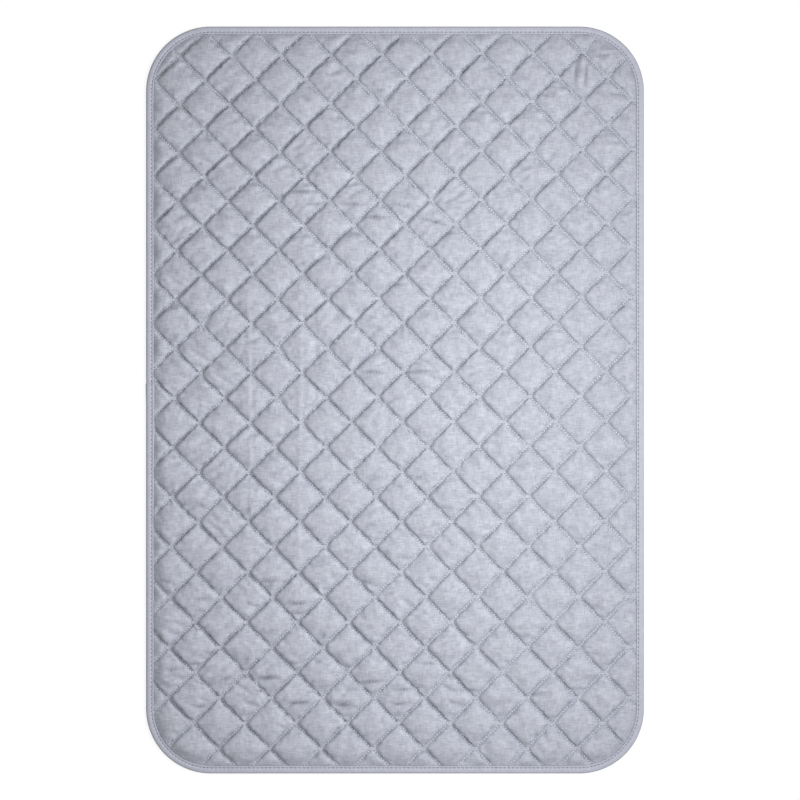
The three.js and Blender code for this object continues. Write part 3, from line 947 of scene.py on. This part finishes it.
def thread_piece(name, centre, width, thickness, side, endless, material):
    """A tube along a line of points, flattened in height. side is 1 on the upper face and -1 below."""
    if endless:
        heading = np.roll(centre, -1, 0) - np.roll(centre, 1, 0)
    else:
        heading = np.gradient(centre, axis=0)
    heading[:, 2] = 0
    heading /= np.linalg.norm(heading, axis=1, keepdims=True)
    across = np.stack([-heading[:, 1], heading[:, 0], 0 * heading[:, 0]], -1)
    turn = np.arange(THREAD_SIDES) / THREAD_SIDES * 2 * math.pi
    points = centre[:, None] + across[:, None] * (width / 2 * np.cos(turn))[:, None]
    points[..., 2] += side * (thickness / 2)[:, None] * np.sin(turn)
    spans = len(centre) if endless else len(centre) - 1
    near = np.arange(spans)[:, None] * THREAD_SIDES
    far = (near + THREAD_SIDES) % (len(centre) * THREAD_SIDES)
    k, after = np.arange(THREAD_SIDES), (np.arange(THREAD_SIDES) + 1) % THREAD_SIDES
    faces = np.stack([near + k, far + k, far + after, near + after], -1).reshape(-1, 4)
    if not endless:
        cap = np.array([[0, 1, 2, 3], [0, 3, 4, 5]])
        faces = np.concatenate([faces, cap, cap[:, ::-1] + (len(centre) - 1) * THREAD_SIDES])
    faces = faces if side > 0 else faces[:, ::-1]
    step = np.linalg.norm(np.diff(centre, axis=0), axis=1)
    run = np.concatenate([[0], np.cumsum(step)])
    flat = np.stack(np.broadcast_arrays(run[:, None], turn * THREAD_RADIUS), -1)
    return make_piece(name, points.reshape(-1, 3), faces, flat.reshape(-1, 2), material)


print("a stitch rises", stitch_height(0.5), "mm and dives", round(-stitch_height(0.0), 2), "mm")

# %% [markdown]
# ## Nineteen quilting threads, above and below
#
# A thread follows its zigzag of the lattice, with as many stitches to a diamond's side as the cover has
# holes there. The height comes from the cloth under the thread, read between the grid's points. At its
# ends the thread goes under the tape, thinner there and without stitches, and stops at the cut edge.

# %% Quilting threads
FIRST_COLUMN, THREADS = -10, 19
ROW_REACH = 17
STITCH_POINTS = np.array([0.0, 0.25, 0.5, 0.75])
CUT_BEYOND, UNDER_TAPE_AT = 6.0, 2.4
STITCHED_FROM, STITCHED_RUN = TAPE_LEG - 1, 1.5
UNSTITCHED_RISE, UNSTITCHED_SHARE = 0.02, 0.25


def cloth_height(surface, column, row):
    a = np.interp((column + row) / 2, along_a[:, 0], index_a[:, 0])
    b = np.interp((column - row) / 2, along_b[0], index_b[0])
    a0 = np.clip(a.astype(int), 0, surface.shape[0] - 2)
    b0 = np.clip(b.astype(int), 0, surface.shape[1] - 2)
    s, t = a - a0, b - b0
    low = surface[a0, b0] * (1 - t) + surface[a0, b0 + 1] * t
    high = surface[a0 + 1, b0] * (1 - t) + surface[a0 + 1, b0 + 1] * t
    return low * (1 - s) + high * s


def quilting_thread(name, first, surface, side):
    stitch = np.arange(-ROW_REACH * STITCHES_PER_SIDE, ROW_REACH * STITCHES_PER_SIDE)
    phase = np.tile(STITCH_POINTS, len(stitch))
    row = (np.repeat(stitch, len(STITCH_POINTS)) + phase) / STITCHES_PER_SIDE
    column = thread_column(first, row)
    place = np.stack(on_pad(column, row), -1)
    depth = inset(*place.T)
    outside = np.flatnonzero(depth < -CUT_BEYOND)
    middle = len(row) // 2
    keep = slice(outside[outside < middle].max() + 1, outside[outside > middle].min())
    row, column, phase, depth, place = row[keep], column[keep], phase[keep], depth[keep], place[keep]
    under_tape = depth < UNDER_TAPE_AT
    place[under_tape] = at_inset(place[under_tape], UNDER_TAPE_AT)
    free = smooth((depth - STITCHED_FROM) / STITCHED_RUN)
    height = side * (stitch_height(phase) * free + UNSTITCHED_RISE * (1 - free))
    centre = np.column_stack([place, cloth_height(surface, column, row) + height])
    thickness = THREAD_HEIGHT * (UNSTITCHED_SHARE + (1 - UNSTITCHED_SHARE) * free)
    return thread_piece(name, centre, THREAD_WIDTH, thickness, side, endless=False, material=silver_thread)


needle_threads, bobbin_threads = [], []
for number in range(1, THREADS + 1):
    first = FIRST_COLUMN + number - 1
    needle_threads.append(quilting_thread(f"quilting_thread_{number:02d}", first, cover_z, 1))
    bobbin_threads.append(quilting_thread(f"quilting_bobbin_thread_{number:02d}", first, backing_z, -1))
print(len(needle_threads), "needle threads and", len(bobbin_threads), "bobbin threads")

# %% [markdown]
# ## The binding's seam
#
# One more row of stitches goes round the tape, near its inner edge. Its thread is made the same way, as
# an endless ring that follows the groove above, with a second one below. Its stitches are longer, so
# each is drawn with more points, by how deep the thread sinks at each.

# %% Binding threads
SEAM_POINTS = np.array([0.0, 0.17, 0.28, 0.5, 0.72, 0.83])
SEAM_SINK = np.array([1.3, 0.9, 0.1, 0.0, 0.1, 0.9])
SEAM_WIDTH, SEAM_PROUD = 0.8, 0.12

stitch_count = round(PERIMETER / STITCH)
phase = np.tile(SEAM_POINTS, stitch_count)
sink = np.tile(SEAM_SINK, stitch_count)
seam_length = (np.repeat(np.arange(stitch_count), len(SEAM_POINTS)) + phase) * STITCH
seam_place = edge_point(seam_length, np.full(len(seam_length), SEAM_DEPTH))
lap_height = np.maximum(lap(seam_length), 0)
lap_height += np.maximum(lap(seam_length + PERIMETER), 0) * (seam_length < LAP_END)
thickness = np.full(len(seam_length), THREAD_HEIGHT)
top = GROOVE_LEVEL + TAPE_HALF + lap_height + tape_level(seam_length) + SEAM_PROUD - sink
bottom = LOWER_LEG - TAPE_HALF - lap_height - SEAM_PROUD + sink
needle_seam, bobbin_seam = [
    thread_piece(name, np.column_stack([seam_place, height]), SEAM_WIDTH, thickness, side, endless=True,
                 material=pit_shaded_thread)
    for name, height, side in (("binding_needle_thread", top, 1), ("binding_bobbin_thread", bottom, -1))
]
print(stitch_count, "stitches of", round(STITCH, 2), "mm round the edge")

# %% [markdown]
# ## Onto the frame
#
# Every piece runs over the fold, across both halves of the imported model, so each one replaces the
# front and rear parts of that name, which are hidden. The bobbin threads of the quilting stand for no
# node, because the imported model leaves them out.


def dress(piece, replaced):
    if replaced:
        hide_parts(f"{piece.name}_front", f"{piece.name}_rear")
    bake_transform(piece)


main_pieces = (
    (cover, "cover_cloth"), (batting, "wadding"), (backing, "backing_cloth"), (binding, "binding_tape"),
    (needle_seam, "sewing_thread"), (bobbin_seam, "sewing_thread"),
)
for piece, slot in main_pieces:
    dress(piece, True)
for piece in needle_threads:
    dress(piece, True)
for piece in bobbin_threads:
    dress(piece, False)
print(len(main_pieces) + len(needle_threads) + len(bobbin_threads), "pieces on the frame")

# %% [markdown]
# ## Cut sizes
#
# The cover was cut larger than the panel, by what the quilting takes up, and the tape is as long as the edge
# and its lap.

# %% [markdown]
# ## Camera
#
# The photograph looks straight down from far away, so the camera stands four metres up with a long lens.
# The lens is worked out from the width that the picture takes in at the level of the stitches.

# %% Camera
CAMERA_HEIGHT, CAMERA_X, FRAME_WIDTH = 4.0, 0.005, 0.8032  # metres

camera_data = bpy.data.cameras.new("camera")
camera = bpy.data.objects.new("camera", camera_data)
bpy.context.scene.collection.objects.link(camera)
camera.location = (CAMERA_X, 0, CAMERA_HEIGHT)
camera_data.lens = camera_data.sensor_width * (CAMERA_HEIGHT - STITCH_LEVEL * MM) / FRAME_WIDTH
bpy.context.scene.camera = camera
print("lens", round(camera_data.lens), "mm")

# %% [markdown]
# ## Light
#
# One large soft lamp hangs half a metre over the right half of the pad and faces across it, so every
# diamond has a bright side and a shaded side, and an even white world fills the shade. The camera and
# reflections see that world at full white, while it lights the pad at a lower strength.

# %% Light
FILL, KEY = 0.40, 5.5
LAMP_PLACE, LAMP_AIM, LAMP_SIZE = (0.33, 0.01, 0.56), (-0.61, 0.01, 0.27), (0.8, 0.4)  # metres


def seen_directly(tree):
    """One for rays that show a surface to the camera or in a reflection, and zero for those that light."""
    rays = add(tree, "ShaderNodeLightPath", {}).outputs
    seen = add(tree, "ShaderNodeMath", {0: rays["Is Camera Ray"], 1: rays["Is Glossy Ray"]},
               operation="MAXIMUM")
    return add(tree, "ShaderNodeMath", {0: seen.outputs[0], 1: rays["Is Transmission Ray"]},
               operation="MAXIMUM").outputs[0]


lamp_data = bpy.data.lights.new("softbox", "AREA")
lamp_data.shape = "RECTANGLE"
lamp_data.size, lamp_data.size_y = LAMP_SIZE
lamp_data.energy = KEY
lamp = bpy.data.objects.new("softbox", lamp_data)
bpy.context.scene.collection.objects.link(lamp)
lamp.location = LAMP_PLACE
aim = np.array(LAMP_AIM) - LAMP_PLACE
lamp.rotation_euler = (math.acos(-aim[2] / np.linalg.norm(aim)), 0, math.atan2(aim[1], aim[0]) - math.pi / 2)

world = bpy.data.worlds.new("white_studio")
world.use_nodes = True
tree = world.node_tree
tree.nodes.clear()
strength = add(tree, "ShaderNodeMapRange", {"Value": seen_directly(tree), "To Min": FILL, "To Max": 1.0})
sky = add(tree, "ShaderNodeBackground", {"Color": (1, 1, 1, 1), "Strength": strength.outputs[0]})
add(tree, "ShaderNodeOutputWorld", {"Surface": sky.outputs[0]})
bpy.context.scene.world = world
print("lamp at", LAMP_PLACE, "m")

# %% [markdown]
# ## Floor
#
# The floor is a painted board. Its paint is a mid grey, so that little light bounces from it onto the
# pad, and a glow that only the camera and reflections see brings it up to white. The pad still leaves
# its thin shadow on the paint.

# %% Floor
FLOOR_SIZE = 12.0  # metres
FLOOR_GLOW = 0.85
FLOOR_LEVEL = -0.2

white_floor = new_finish("white_painted_board")
tree = white_floor.node_tree
glow = add(tree, "ShaderNodeMath", {0: seen_directly(tree), 1: FLOOR_GLOW}, operation="MULTIPLY").outputs[0]
paint = add(tree, "ShaderNodeBsdfDiffuse", {"Color": linear("#8C8C8C")})
shine = add(tree, "ShaderNodeEmission", {"Color": (1, 1, 1, 1), "Strength": glow})
both = add(tree, "ShaderNodeAddShader", {0: paint.outputs[0], 1: shine.outputs[0]})
add(tree, "ShaderNodeOutputMaterial", {"Surface": both.outputs[0]})

half = FLOOR_SIZE / 2 / MM
board = np.array([(x * half, y * half, FLOOR_LEVEL) for x, y in ((-1, -1), (1, -1), (1, 1), (-1, 1))])
floor = make_piece("floor", board, np.array([[0, 1, 2, 3]]), board[:, :2], white_floor)
print("floor of", FLOOR_SIZE, "m")

# %% [markdown]
# ## The end
#
# The cloth stands a few millimetres proud of the imported model. The render shows the colours as they
# are written, through Blender's standard view.

# %% View
bpy.context.scene.view_settings.view_transform = "Standard"
